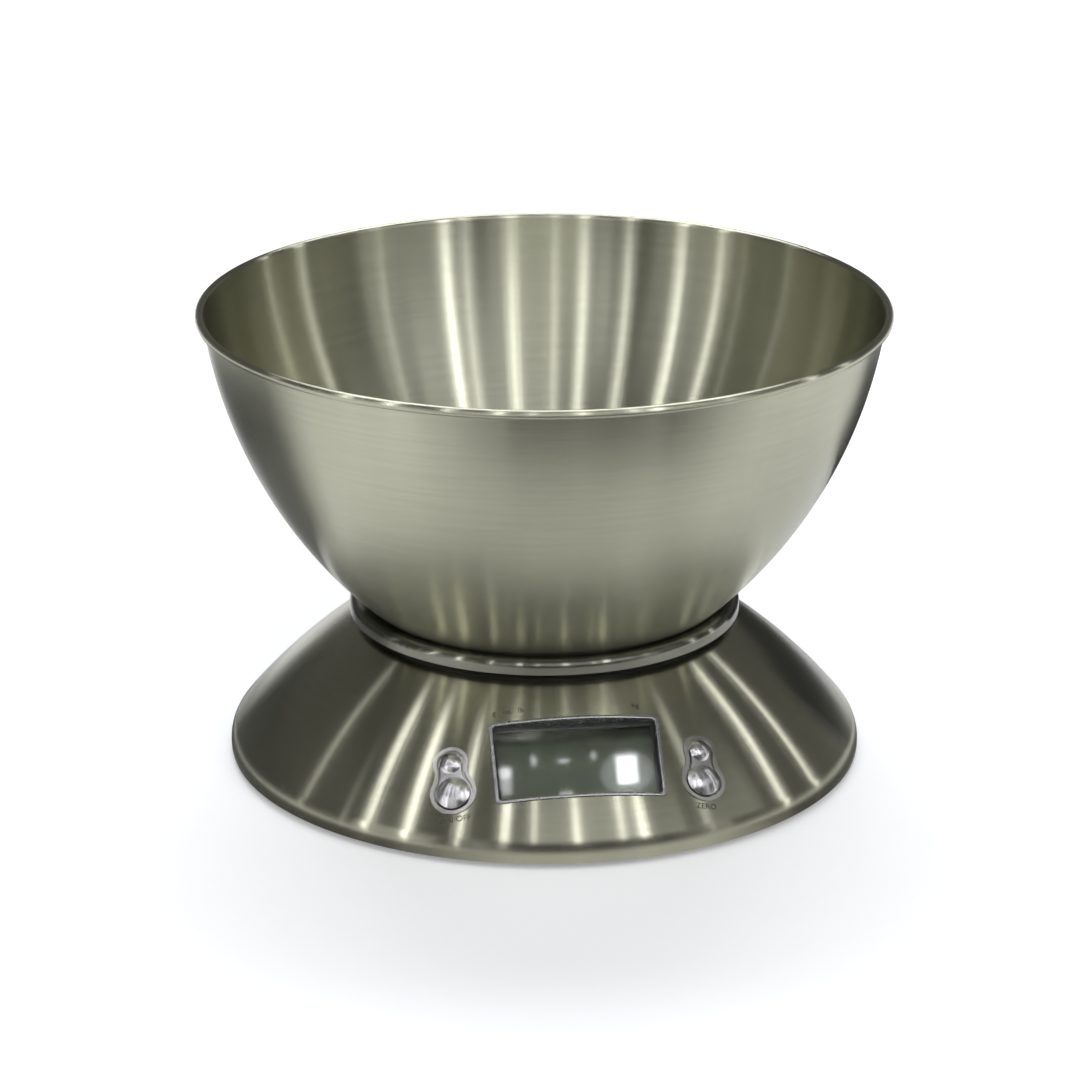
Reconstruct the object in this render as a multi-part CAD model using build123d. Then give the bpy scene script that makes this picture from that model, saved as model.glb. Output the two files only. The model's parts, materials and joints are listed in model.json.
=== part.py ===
from build123d import *
import os
from functools import lru_cache
from math import cos, hypot, pi, radians, sin, sqrt, tan

# A digital kitchen scale: a domed steel base with a display and two buttons on its front slope,
# a round weighing platform carried by a load cell, and a steel bowl that stands on the platform.
# Millimetres. +Z is up, -Y is the front, and the origin is on the table under the centre.

# Feet and floor
foot_radius = 8.0
foot_height = 3.4
foot_recess = 1.0
foot_clearance = 0.2
foot_margin = 6.8
foot_round = 1.0
floor_thickness = 2.2
floor_clearance = 0.3

# Steel base cover
base_radius = 100.0
shoulder_height = 6.8
shoulder_round = 8.0
cover_top_height = 44.0
cover_top_radius = 60.0
cover_top_round = 6.0
dome_curve = 180.0
cover_hole_clearance = 1.25
cover_sheet = 0.7
cover_overhang = 0.4

# Upper housing under the steel
housing_wall = 2.0
housing_gap = 0.2
housing_hole_margin = 1.0
housing_lift = 0.2
boss_radius = 4.2
boss_edge = 12.8
boss_angles = (30, 90, 150, 210, 330)
boss_pad_height = 2.0
boss_pad_radius = 5.4

# Screws: shank, head and the room round them
housing_screw_radius = 1.5
housing_screw_head_radius = 2.8
housing_screw_head_height = 1.8
housing_screw_grip = 8.0
cell_screw_radius = 2.0
cell_screw_head_radius = 3.5
cell_screw_head_height = 3.2
cell_screw_grip = 8.0
board_screw_radius = 0.8
board_screw_head_radius = 1.7
board_screw_head_height = 1.0
board_screw_grip = 4.0
thread_clearance = 0.1
shank_clearance = 0.25
head_clearance = 0.4
blind_depth = 1.0

# Weighing platform
platform_edge_width = 4.2
platform_gap = 2.8
platform_edge_height = 4.4
platform_recess = 1.0
platform_sheet = 0.8
platform_round = 2.2
platform_travel = 0.8
stop_clearance = 0.1
seat_clearance = 1.2
stud_radius = 1.5
stud_margin = 2.8
stud_angles = (60, 120, 240, 300)
stud_end = 0.6
nut_height = 2.4
nut_width = 5.5

# Carrier between platform and load cell
deck_inset = 2.8
deck_thickness = 3.0
pillar_width = 16.0
pillar_margin = 7.0
pillar_floor = 5.0
rib_thickness = 2.4
rib_height = 6.0
rib_length = 26.0

# Load cell
cell_end = 5.0
cell_width = 12.7
cell_height = 12.7
cell_boss_height = 10.4
cell_hole_inner = 20.0
cell_hole_outer = 35.0
cell_window_radius = 4.6
cell_window_spacing = 13.0
cell_window_slot = 3.0
coating_gap = 1.0
coating_width = 10.0
coating_thickness = 0.8
stop_radius = 4.0

# Bowl
bowl_rim_radius = 107.5
bowl_height = 95.3
bowl_foot_radius = 55.2
bowl_wall_curve = 150.0
bowl_sheet = 0.6
bowl_corner_round = 5.0
rim_bead_radius = 1.4

# Display, on a plane that touches the dome at the height of its middle.
# Depths are measured inwards from that plane.
panel_height = 28.2
view_width = 49.4
view_height = 24.6
view_corner = 1.2
bezel_width = 1.0
bezel_rise = 0.3
bezel_clearance = 0.1
lens_sink = 0.6
lens_thickness = 1.5
seal_thickness = 0.3
seal_width = 1.6
pocket_clearance = 0.2
ledge_width = 2.2
ledge_thickness = 1.3
well_wall = 1.6
lcd_gap = 0.3
lcd_thickness = 2.2
lcd_margin = 0.6
lcd_frame_wall = 2.0
lcd_frame_clearance = 0.2
lcd_shelf = 2.0
lcd_shelf_thickness = 1.2
lcd_frame_lap = 1.4
strip_thickness = 2.0
strip_gap = 0.4
strip_margin = 3.0

# Main board
board_thickness = 1.6
board_side_margin = 7.7
board_top_margin = 0.5
board_floor_gap = 1.1
board_post_radius = 1.8
board_post_gap = 1.05
board_post_inset = 4.0
chip_size = 9.0
chip_thickness = 1.4
chip_across = 14.0

# Buttons: a two-lobed cap in a dished surround
button_margin = 8.3
button_drop = 3.3
lobe_low_radius = 4.9
lobe_high_radius = 3.3
lobe_spacing = 9.6
waist_radius = 8.0
button_rise = 1.3
button_gap = 0.25
button_travel = 0.6
button_flange = 1.0
button_flange_lap = 1.2
flange_clearance = 0.2
surround_width = 1.3
surround_wall = 0.5
surround_lip = 0.6
surround_rise = 0.35
surround_dish = 0.9
surround_floor = 0.9
glue_line = 0.05
switch_size = 6.0
switch_height = 2.5
plunger_radius = 1.6
plunger_clearance = 0.1
plunger_seat = 0.9
plunger_room = 0.2

# Batteries and their bay
battery_diameter = 10.5
battery_length = 44.5
nub_length = 1.2
nub_radius = 1.9
battery_gap = 0.9
battery_lift = 0.8
bay_centre = 46.0
bay_side_gap = 0.6
bay_top_gap = 0.6
bay_wall = 1.5
plate_thickness = 0.4
plate_width = 8.6
plate_height = 9.0
plate_gap = 0.2
tag_width = 2.4
tag_length = 2.0
tag_clearance = 0.2
spring_length = 4.5
spring_radius = 3.2
spring_wire = 0.6
spring_turns = 3
spring_gap = 0.1

# Battery door, hinged at the rear edge of the bay's opening
door_thickness = 2.0
door_clearance = 0.3
tab_across = 14.0
tab_width = 6.0
tab_length = 2.4
tab_thickness = 1.15
tab_root = 2.2
tab_lift = 0.15
tab_slot_margin = 0.6
tab_slot_height = 3.6
hinge_rib_radius = 0.7
hinge_rib_length = 9.0
hinge_rib_clearance = 0.2
latch_width = 14.0
latch_thickness = 1.2
latch_height = 1.8
grip_count = 4
grip_width = 16.0
grip_thickness = 0.8
grip_pitch = 2.0
grip_depth = 0.5
grip_inset = 3.0

# Wires
gauge_wire_radius = 0.35
gauge_wire_pitch = 2.0
gauge_wire_first = -9.0
gauge_wire_high = 8.0
battery_lead_radius = 0.6
battery_lead_across = -20.0
battery_lead_pitch = 4.0
battery_lead_step = 6.0
battery_lead_high = 4.0
lead_stand_off = 7.0
lead_bend_share = 0.45

# How far cutting bodies run past the faces they cut
overcut = 1.0
outer_reach = 12.0

# Steps of the search for the dome's depth
halvings = 50

# Heights that follow from the sizes above
floor_bottom = foot_height - foot_recess
floor_top = floor_bottom + floor_thickness
cover_bottom = floor_bottom - cover_overhang
housing_bottom = floor_bottom + housing_lift
boss_bottom = floor_top + boss_pad_height
cell_bottom = floor_top + cell_boss_height
cell_top = cell_bottom + cell_height
platform_bottom = cover_top_height + platform_gap
platform_top = platform_bottom + platform_edge_height
seat_height = platform_top - platform_recess
deck_top = seat_height - platform_sheet
deck_bottom = deck_top - deck_thickness
rim_height = seat_height + bowl_height - rim_bead_radius
housing_screw_seat = floor_bottom + housing_screw_head_height + head_clearance
cell_screw_seat = floor_bottom + cell_screw_head_height + head_clearance
top_screw_seat = cell_top + pillar_floor

# Inner faces of the steel and of the housing, as insets from the cover's outside
housing_outside = cover_sheet + housing_gap
housing_inside = housing_outside + housing_wall

# Radii and lengths that follow from the sizes above
floor_radius = base_radius - housing_inside - floor_clearance
foot_circle = floor_radius - foot_radius - foot_margin
boss_circle = floor_radius - boss_edge
pillar_near = cell_hole_inner - pillar_margin
pillar_far = cell_hole_outer + pillar_margin
cover_hole_radius = hypot(pillar_far, pillar_width / 2) + cover_hole_clearance
stud_circle = cover_hole_radius - nut_width / sqrt(3) - stud_margin
deck_radius = bowl_foot_radius - deck_inset
seat_radius = bowl_foot_radius + seat_clearance
bead_radius = seat_radius + platform_recess
platform_radius = bead_radius + platform_edge_width
cell_length = 2 * (cell_hole_outer + cell_end)
coating_length = 2 * (pillar_near - coating_gap)

# The feet, by their angles from the +X axis
foot_places = {
    "foot_rear_right": 45,
    "foot_rear_left": 135,
    "foot_front_left": 225,
    "foot_front_right": 315,
}


def arc_middle(low, high, curve):
    """Centre, as (r, z), of the arc of the given radius that bulges outwards from low to high."""
    across = high[0] - low[0]
    rise = high[1] - low[1]
    chord = hypot(across, rise)
    back = sqrt(curve**2 - chord**2 / 4)
    return (low[0] + high[0]) / 2 - back * rise / chord, (low[1] + high[1]) / 2 + back * across / chord


def arc_radius_at(middle, curve, z):
    """Radius from the Z axis of an arc's outer side, at height z."""
    return middle[0] + sqrt(curve**2 - (z - middle[1])**2)


def arc_height_at(middle, curve, r):
    """Height of an arc's upper side, at radius r from the Z axis."""
    return middle[1] + sqrt(curve**2 - (r - middle[0])**2)


def point(r, z):
    """A point of a profile that is turned about the Z axis."""
    return Vector(r, 0, z)


def profile_arc(middle, curve, start, end):
    """The arc between two profile points, through the point of the same circle half way between."""
    across = (start[0] + end[0]) / 2 - middle[0]
    rise = (start[1] + end[1]) / 2 - middle[1]
    reach = curve / hypot(across, rise)
    half_way = point(middle[0] + across * reach, middle[1] + rise * reach)
    return ThreePointArc(point(*start), half_way, point(*end))


def rounded(face, corners):
    """Rounds the corners of a profile, given as ((r, z), radius)."""
    for (r, z), radius in corners:
        corner = min(face.vertices(), key=lambda v: hypot(v.X - r, v.Z - z))
        face = face.fillet_2d(radius, [corner])
    return face


def turned(edges, corners=()):
    """A solid of revolution from the edges of its profile."""
    return revolve(rounded(make_face(edges).face(), corners), Axis.Z)


def disc(radius, low, high, x=0.0, y=0.0):
    """An upright cylinder between two heights."""
    return Pos(x, y, (low + high) / 2) * Cylinder(radius, high - low)


def block(x_range, y_range, z_range):
    """A box between two limits on each axis."""
    sizes = [high - low for low, high in (x_range, y_range, z_range)]
    middles = [(high + low) / 2 for low, high in (x_range, y_range, z_range)]
    return Pos(*middles) * Box(*sizes)


def on_circle(radius, angle):
    """The x and y of a point on a circle about the Z axis."""
    return radius * cos(radians(angle)), radius * sin(radians(angle))


# The dome's profile arc, and the plane that touches it behind the display
dome_middle = arc_middle((base_radius, shoulder_height), (cover_top_radius, cover_top_height), dome_curve)
panel_radius = arc_radius_at(dome_middle, dome_curve, panel_height)
panel_out = (panel_radius - dome_middle[0]) / dome_curve
panel_up = (panel_height - dome_middle[1]) / dome_curve
panel = Plane(origin=(0, -panel_radius, panel_height), x_dir=(1, 0, 0), z_dir=(0, -panel_out, panel_up))


@lru_cache
def dome(inset, bottom):
    """The base's outer form, offset inwards by inset, as a full solid down to bottom."""
    curve = dome_curve - inset
    side = base_radius - inset
    top = cover_top_height - inset
    shoulder = (side, arc_height_at(dome_middle, curve, side))
    crown = (arc_radius_at(dome_middle, curve, top), top)
    edges = [
        Line(point(0, bottom), point(side, bottom)),
        Line(point(side, bottom), point(*shoulder)),
        profile_arc(dome_middle, curve, shoulder, crown),
        Line(point(*crown), point(0, top)),
        Line(point(0, top), point(0, bottom)),
    ]
    return turned(edges, [(shoulder, shoulder_round - inset), (crown, cover_top_round - inset)])


def panel_block(width, height, near, far, u=0.0, v=0.0, corner=0.0):
    """A block on the display's plane, between two depths, with its middle at u across and v up."""
    outline = RectangleRounded(width, height, corner) if corner else Rectangle(width, height)
    return extrude(panel.offset(-far) * Pos(u, v) * outline, amount=far - near)


def panel_frame(outer, inner, near, far, corner=0.0):
    """A rectangular frame on the display's plane, between two depths."""
    hole = panel_block(inner[0], inner[1], near, far, corner=corner)
    return panel_block(outer[0], outer[1], near, far, corner=corner) - hole


def panel_disc(radius, near, far, u, v):
    """A cylinder along the display's normal, between two depths."""
    return extrude(panel.offset(-far) * Pos(u, v) * Circle(radius), amount=far - near)


def panel_point(u, v, depth):
    """A point in space from its place on the display's plane and its depth behind it."""
    return panel.from_local_coords(Vector(u, v, -depth))


def skin_depth(u, v):
    """Depth at which the line along the display's normal meets the outside of the dome."""
    low = -outer_reach
    high = 2 * outer_reach
    for _ in range(halvings):
        depth = (low + high) / 2
        place = panel_point(u, v, depth)
        if hypot(place.X, place.Y) > arc_radius_at(dome_middle, dome_curve, place.Z):
            low = depth
        else:
            high = depth
    return low


# Display sizes that follow from the viewing window
bezel_outer = (view_width + 2 * bezel_width, view_height + 2 * bezel_width)
window_hole = (bezel_outer[0] + 2 * bezel_clearance, bezel_outer[1] + 2 * bezel_clearance)
pocket_size = (bezel_outer[0] + 2 * pocket_clearance, bezel_outer[1] + 2 * pocket_clearance)
well_size = (pocket_size[0] + 2 * well_wall, pocket_size[1] + 2 * well_wall)
ledge_hole = (pocket_size[0] - 2 * ledge_width, pocket_size[1] - 2 * ledge_width)
seal_hole = (bezel_outer[0] - 2 * seal_width, bezel_outer[1] - 2 * seal_width)
lens_depth = max(skin_depth(bezel_outer[0] / 2, v * bezel_outer[1] / 2) for v in (-1, 1)) + lens_sink
ledge_depth = lens_depth + lens_thickness + seal_thickness
well_depth = ledge_depth + ledge_thickness
lcd_depth = well_depth + lcd_gap
lcd_back = lcd_depth + lcd_thickness
lcd_size = (view_width + 2 * lcd_margin, view_height + 2 * lcd_margin)
frame_hole = (lcd_size[0] + 2 * lcd_frame_clearance, lcd_size[1] + 2 * lcd_frame_clearance)
frame_size = (frame_hole[0] + 2 * lcd_frame_wall, frame_hole[1] + 2 * lcd_frame_wall)
shelf_hole = (lcd_size[0] - 2 * lcd_shelf, lcd_size[1] - 2 * lcd_shelf)

# Button places and depths, from the outside in: cap, surround, flange, plunger, switch, board
button_across = view_width / 2 + lobe_low_radius + button_margin
lobe_low = (lobe_low_radius - lobe_high_radius - lobe_spacing) / 2 - button_drop
lobe_high = lobe_low + lobe_spacing
surround_reach = button_across + lobe_low_radius + surround_width
surround_depth = skin_depth(surround_reach, lobe_low) + surround_dish + surround_floor
flange_top = surround_depth + flange_clearance
flange_bottom = flange_top + button_flange
switch_top = flange_bottom + button_travel + plunger_room
plunger_bottom = switch_top + plunger_seat
plunger_well = plunger_bottom + button_travel + plunger_room

# The board lies behind the switches, above the floor and past the glass's frame
board_depth = switch_top + switch_height
board_back = board_depth + board_thickness
board_half_width = button_across + board_side_margin
board_low = (floor_top + board_floor_gap + board_back * panel_up - panel_height) / panel_out
board_high = frame_size[1] / 2 + board_top_margin
post_across = frame_size[0] / 2 + board_post_gap + board_post_radius
post_heights = (board_low + board_post_inset, board_high - board_post_inset)
board_posts = [(side * post_across, v) for side in (-1, 1) for v in post_heights]


def gourd(grow, near, far, side):
    """The buttons' two-lobed outline, grown by an offset, as a prism between two depths."""
    low_radius = lobe_low_radius + grow
    high_radius = lobe_high_radius + grow
    low_reach = lobe_low_radius + waist_radius
    high_reach = lobe_high_radius + waist_radius
    along = (low_reach**2 - high_reach**2 + lobe_spacing**2) / (2 * lobe_spacing)
    across = sqrt(low_reach**2 - along**2)
    low_x = across * low_radius / low_reach
    low_join = lobe_low + along * low_radius / low_reach
    high_x = across * high_radius / high_reach
    high_join = lobe_high + (along - lobe_spacing) * high_radius / high_reach
    waist_x = across - waist_radius + grow
    waist_y = lobe_low + along
    edges = [
        ThreePointArc((low_x, low_join), (waist_x, waist_y), (high_x, high_join)),
        ThreePointArc((high_x, high_join), (0, lobe_high + high_radius), (-high_x, high_join)),
        ThreePointArc((-high_x, high_join), (-waist_x, waist_y), (-low_x, low_join)),
        ThreePointArc((-low_x, low_join), (0, lobe_low - low_radius), (low_x, low_join)),
    ]
    outline = panel.offset(-far) * Pos(side * button_across, 0) * make_face(edges)
    return extrude(outline, amount=far - near)


def lobe_ball(side, v, lobe_radius):
    """A ball whose cap stands button_rise proud of the dome over one lobe."""
    radius = (lobe_radius**2 + button_rise**2) / (2 * button_rise)
    place = panel_point(side * button_across, v, skin_depth(side * button_across, v))
    reach = hypot(place.X, place.Y)
    out = (reach - dome_middle[0]) / dome_curve
    up = (place.Z - dome_middle[1]) / dome_curve
    normal = Vector(place.X / reach * out, place.Y / reach * out, up)
    return Pos(*(place - normal * (radius - button_rise))) * Sphere(radius)


def make_button(side):
    """A button: its domed cap, and the flange that keeps it under its surround."""
    crown = dome(0, cover_bottom)
    crown += lobe_ball(side, lobe_low, lobe_low_radius)
    crown += lobe_ball(side, lobe_high, lobe_high_radius)
    cap = gourd(0, -outer_reach, flange_bottom, side) & crown
    return cap + gourd(button_flange_lap, flange_top, flange_bottom, side)


def make_surround(side):
    """The dished ring round a button, with a lip that lies on the steel."""
    body = gourd(surround_width, -outer_reach, surround_depth, side) & dome(-surround_rise, cover_bottom)
    lip = gourd(surround_width + surround_lip, -outer_reach, surround_depth, side)
    lip &= dome(-surround_rise, cover_bottom) - dome(-glue_line, cover_bottom)
    dish = gourd(surround_width - surround_wall, -outer_reach, surround_depth, side)
    dish -= dome(surround_dish, cover_bottom)
    return body + lip - dish - gourd(button_gap, -outer_reach, surround_depth, side)


def make_plunger(side):
    """The part of a switch that the button pushes in."""
    return panel_disc(plunger_radius, flange_bottom, plunger_bottom, side * button_across, -button_drop)


def make_switch(side):
    """A switch body on the board, with the well its plunger runs in."""
    across = side * button_across
    body = panel_block(switch_size, switch_size, switch_top, board_depth, u=across, v=-button_drop)
    well_radius = plunger_radius + plunger_clearance
    return body - panel_disc(well_radius, switch_top, plunger_well, across, -button_drop)


def make_base_cover():
    """The drawn steel cover, with its top hole, display window and button holes."""
    cover = dome(0, cover_bottom) - dome(cover_sheet, cover_bottom - overcut)
    cover -= disc(cover_hole_radius, 0, cover_top_height + overcut)
    cover -= panel_block(window_hole[0], window_hole[1], -outer_reach, outer_reach, corner=view_corner)
    for side in (-1, 1):
        cover -= gourd(surround_width + bezel_clearance, -outer_reach, 2 * outer_reach, side)
    return cover


def make_upper_housing():
    """The plastic dome under the steel, with the display's well, board posts and screw bosses."""
    full = dome(housing_outside, housing_bottom)
    inside = panel_block(well_size[0], well_size[1], -outer_reach, well_depth)
    for u, v in board_posts:
        inside += panel_disc(board_post_radius, -outer_reach, board_depth, u, v)
    for angle in boss_angles:
        x, y = on_circle(boss_circle, angle)
        inside += disc(boss_radius, boss_bottom, cover_top_height, x, y)
    housing = full - dome(housing_inside, housing_bottom - overcut)
    housing += inside & full
    housing -= disc(cover_hole_radius + housing_hole_margin, 0, cover_top_height)
    housing -= panel_block(pocket_size[0], pocket_size[1], -outer_reach, ledge_depth, corner=view_corner)
    housing -= panel_block(ledge_hole[0], ledge_hole[1], -outer_reach, well_depth)
    for side in (-1, 1):
        housing -= gourd(surround_width + pocket_clearance, -outer_reach, 2 * outer_reach, side)
    pilot = board_screw_radius + thread_clearance
    for u, v in board_posts:
        housing -= panel_disc(pilot, board_depth - board_screw_grip - blind_depth, board_depth, u, v)
    boss_pilot = housing_screw_radius + thread_clearance
    pilot_end = boss_bottom + housing_screw_grip + blind_depth
    for angle in boss_angles:
        x, y = on_circle(boss_circle, angle)
        housing -= disc(boss_pilot, boss_bottom, pilot_end, x, y)
    return housing


# Battery bay, from the cells it holds
battery_radius = battery_diameter / 2
battery_axis = floor_top + battery_lift + battery_radius
battery_step = (battery_diameter + battery_gap) / 2
bay_half_length = (battery_length + spring_length + plate_gap) / 2 + plate_thickness
bay_half_width = battery_step + battery_radius + bay_side_gap
bay_roof = battery_axis + battery_radius + bay_top_gap
bay_front = bay_centre - bay_half_width
bay_rear = bay_centre + bay_half_width
plate_low = battery_axis - plate_height / 2
plate_high = battery_axis + plate_height / 2
tag_high = plate_high
tag_low = tag_high - plate_thickness
tag_end = bay_half_length + bay_wall + tag_length


def hinge_rod(grow, across):
    """A rod along the battery door's axis at one of its tabs, grown by a clearance."""
    rod = Cylinder(hinge_rib_radius + grow, hinge_rib_length + 2 * grow)
    return Pos(across, bay_rear, floor_bottom) * Rot(0, 90, 0) * rod


def make_bottom_housing():
    """The floor of the base: foot recesses, screw pads, load cell boss, stop and battery bay."""
    tray = disc(floor_radius, floor_bottom, floor_top)
    boss_y = (-pillar_width / 2, pillar_width / 2)
    tray += block((-pillar_far, -pillar_near), boss_y, (floor_top, cell_bottom))
    tray += disc(stop_radius, floor_top, cell_bottom - platform_travel - stop_clearance, cell_hole_outer)
    for angle in boss_angles:
        tray += disc(boss_pad_radius, floor_top, boss_bottom, *on_circle(boss_circle, angle))
    bay_x = (-bay_half_length, bay_half_length)
    bay_y = (bay_front, bay_rear)
    shell_x = (bay_x[0] - bay_wall, bay_x[1] + bay_wall)
    shell_y = (bay_y[0] - bay_wall, bay_y[1] + bay_wall)
    tray += block(shell_x, shell_y, (floor_top, bay_roof + bay_wall))
    tray -= block(bay_x, bay_y, (0, bay_roof))
    for across in (-tab_across, tab_across):
        half = tab_width / 2 + tab_slot_margin
        slot_z = (floor_top, floor_top + tab_slot_height)
        tray -= block((across - half, across + half), (bay_rear, bay_rear + bay_wall), slot_z)
        tray += hinge_rod(0, across)
    for y in (bay_centre - battery_step, bay_centre + battery_step):
        half = tag_width / 2 + tag_clearance
        slot_z = (tag_low - tag_clearance, tag_high + tag_clearance)
        tray -= block((shell_x[0], bay_x[0]), (y - half, y + half), slot_z)
    for angle in foot_places.values():
        tray -= disc(foot_radius + foot_clearance, 0, foot_height, *on_circle(foot_circle, angle))
    for angle in boss_angles:
        x, y = on_circle(boss_circle, angle)
        tray -= disc(housing_screw_radius + shank_clearance, 0, boss_bottom, x, y)
        tray -= disc(housing_screw_head_radius + head_clearance, 0, housing_screw_seat, x, y)
    for x in (-cell_hole_inner, -cell_hole_outer):
        tray -= disc(cell_screw_radius + shank_clearance, 0, cell_bottom, x)
        tray -= disc(cell_screw_head_radius + head_clearance, 0, cell_screw_seat, x)
    return tray


def make_foot(angle):
    """A rubber pad in its recess, with a rounded lower edge."""
    x, y = on_circle(foot_circle, angle)
    foot = disc(foot_radius, 0, foot_height, x, y)
    return fillet(foot.edges().sort_by(Axis.Z)[0], min(foot_round, foot_height / 2))


def screw(radius, head_radius, head_height, seat, tip, x, y):
    """A screw whose head rests on seat, with its shank running from there to tip."""
    head_end = seat - head_height if tip > seat else seat + head_height
    head = disc(head_radius, min(seat, head_end), max(seat, head_end), x, y)
    return head + disc(radius, min(seat, tip), max(seat, tip), x, y)


def make_housing_screws():
    """The screws that hold the two housings together, from below."""
    tip = boss_bottom + housing_screw_grip
    return [
        screw(housing_screw_radius, housing_screw_head_radius, housing_screw_head_height,
              housing_screw_seat, tip, *on_circle(boss_circle, angle))
        for angle in boss_angles
    ]


def make_cell_screws(seat, tip, side):
    """The pair of screws at one end of the load cell."""
    return [
        screw(cell_screw_radius, cell_screw_head_radius, cell_screw_head_height, seat, tip, side * x, 0)
        for x in (cell_hole_inner, cell_hole_outer)
    ]


def make_load_cell():
    """A bar with a double-hole window in its side and two screw holes at each end."""
    half = cell_length / 2
    bar = block((-half, half), (-cell_width / 2, cell_width / 2), (cell_bottom, cell_top))
    middle = (cell_bottom + cell_top) / 2
    for x in (-cell_window_spacing / 2, cell_window_spacing / 2):
        bar -= Pos(x, 0, middle) * Rot(90, 0, 0) * Cylinder(cell_window_radius, cell_width)
    slot_x = (-cell_window_spacing / 2, cell_window_spacing / 2)
    slot_z = (middle - cell_window_slot / 2, middle + cell_window_slot / 2)
    bar -= block(slot_x, (-cell_width / 2, cell_width / 2), slot_z)
    for x in (cell_hole_inner, cell_hole_outer):
        bar -= disc(cell_screw_radius + thread_clearance, cell_bottom, cell_top, x)
        bar -= disc(cell_screw_radius + thread_clearance, cell_bottom, cell_top, -x)
    return bar


def make_gauge_coating():
    """The soft coating over the strain gauges, above and below the window."""
    x_range = (-coating_length / 2, coating_length / 2)
    y_range = (-coating_width / 2, coating_width / 2)
    upper = block(x_range, y_range, (cell_top, cell_top + coating_thickness))
    return [upper, block(x_range, y_range, (cell_bottom - coating_thickness, cell_bottom))]


def make_platform():
    """The pressed steel platform: a seat for the bowl, a raised edge and four welded studs."""
    lean = platform_sheet * tan(pi / 8)
    inside = platform_radius - platform_sheet
    edges = Polyline(
        point(0, seat_height),
        point(seat_radius, seat_height),
        point(bead_radius, platform_top),
        point(platform_radius, platform_top),
        point(platform_radius, platform_bottom),
        point(inside, platform_bottom),
        point(inside, platform_top - platform_sheet),
        point(bead_radius + lean, platform_top - platform_sheet),
        point(seat_radius + lean, deck_top),
        point(0, deck_top),
        close=True,
    ).edges()
    inner_round = platform_round - platform_sheet
    corners = [((platform_radius, platform_top), platform_round),
               ((inside, platform_top - platform_sheet), inner_round)]
    platform = turned(edges, corners)
    for angle in stud_angles:
        x, y = on_circle(stud_circle, angle)
        platform += disc(stud_radius, deck_bottom - nut_height - stud_end, deck_top, x, y)
    return platform


def make_carrier():
    """The deck under the platform, its ribs, and the pillar that stands on the load cell's free end."""
    deck = disc(deck_radius, deck_bottom, deck_top)
    pillar_y = (-pillar_width / 2, pillar_width / 2)
    deck += block((pillar_near, pillar_far), pillar_y, (cell_top, deck_bottom))
    rib_z = (deck_bottom - rib_height, deck_bottom)
    deck += block((pillar_near - rib_length, pillar_near), (-rib_thickness / 2, rib_thickness / 2), rib_z)
    deck += block((pillar_near, pillar_near + rib_thickness), (-rib_length, rib_length), rib_z)
    for angle in stud_angles:
        x, y = on_circle(stud_circle, angle)
        deck -= disc(stud_radius + shank_clearance, deck_bottom, deck_top, x, y)
    for x in (cell_hole_inner, cell_hole_outer):
        deck -= disc(cell_screw_head_radius + head_clearance, top_screw_seat, deck_top, x)
        deck -= disc(cell_screw_radius + shank_clearance, cell_top, deck_top, x)
    return deck


def make_nuts():
    """The nuts on the platform's studs, tight against the deck."""
    nuts = []
    for angle in stud_angles:
        x, y = on_circle(stud_circle, angle)
        hexagon = RegularPolygon(nut_width / 2, 6, major_radius=False)
        nut = extrude(Pos(x, y, deck_bottom - nut_height) * hexagon, amount=nut_height)
        nuts.append(nut - disc(stud_radius + thread_clearance, 0, deck_bottom, x, y))
    return nuts


def make_bowl():
    """The bowl: a flat foot, a curved wall of even thickness and a rolled rim."""
    rim_wall = bowl_rim_radius - 2 * rim_bead_radius + bowl_sheet
    foot = (bowl_foot_radius, seat_height)
    top = (rim_wall, rim_height)
    middle = arc_middle(foot, top, bowl_wall_curve)
    inner_curve = bowl_wall_curve - bowl_sheet
    inner_floor = seat_height + bowl_sheet
    inner_foot = (arc_radius_at(middle, inner_curve, inner_floor), inner_floor)
    inner_top = (arc_radius_at(middle, inner_curve, rim_height), rim_height)
    edges = [
        Line(point(0, seat_height), point(*foot)),
        profile_arc(middle, bowl_wall_curve, foot, top),
        Line(point(*top), point(*inner_top)),
        profile_arc(middle, inner_curve, inner_top, inner_foot),
        Line(point(*inner_foot), point(0, inner_floor)),
        Line(point(0, inner_floor), point(0, seat_height)),
    ]
    inner_round = bowl_corner_round - bowl_sheet
    wall = turned(edges, [(foot, bowl_corner_round), (inner_foot, inner_round)])
    bead = Pos(0, 0, rim_height) * Torus(bowl_rim_radius - rim_bead_radius, rim_bead_radius)
    return wall + bead


def make_display_bezel():
    """The thin frame that lines the window from the lens up to just above the steel."""
    outer = panel_block(bezel_outer[0], bezel_outer[1], -outer_reach, lens_depth, corner=view_corner)
    frame = outer & dome(-bezel_rise, cover_bottom)
    return frame - panel_block(view_width, view_height, -outer_reach, lens_depth, corner=view_corner)


def make_lcd_frame():
    """The frame that holds the glass over the board, with a shelf behind the glass's edge."""
    upper = panel_frame(frame_size, frame_hole, lcd_back - lcd_frame_lap, lcd_back)
    shelf = panel_frame(frame_size, shelf_hole, lcd_back, lcd_back + lcd_shelf_thickness)
    legs = panel_frame(frame_size, frame_hole, lcd_back + lcd_shelf_thickness, board_depth)
    return upper + shelf + legs - disc(base_radius, 0, floor_top + board_floor_gap)


def make_contact_strip(side):
    """A rubber strip that joins the glass's edge contacts to the board."""
    v = side * ((shelf_hole[1] - strip_thickness) / 2 - strip_gap)
    length = shelf_hole[0] - 2 * strip_margin
    return panel_block(length, strip_thickness, lcd_back, board_depth, v=v)


def make_board_screws():
    """The screws that hold the board on its posts, from behind."""
    screws = []
    for u, v in board_posts:
        head = panel_disc(board_screw_head_radius, board_back, board_back + board_screw_head_height, u, v)
        screws.append(head + panel_disc(board_screw_radius, board_depth - board_screw_grip, board_back, u, v))
    return screws


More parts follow.
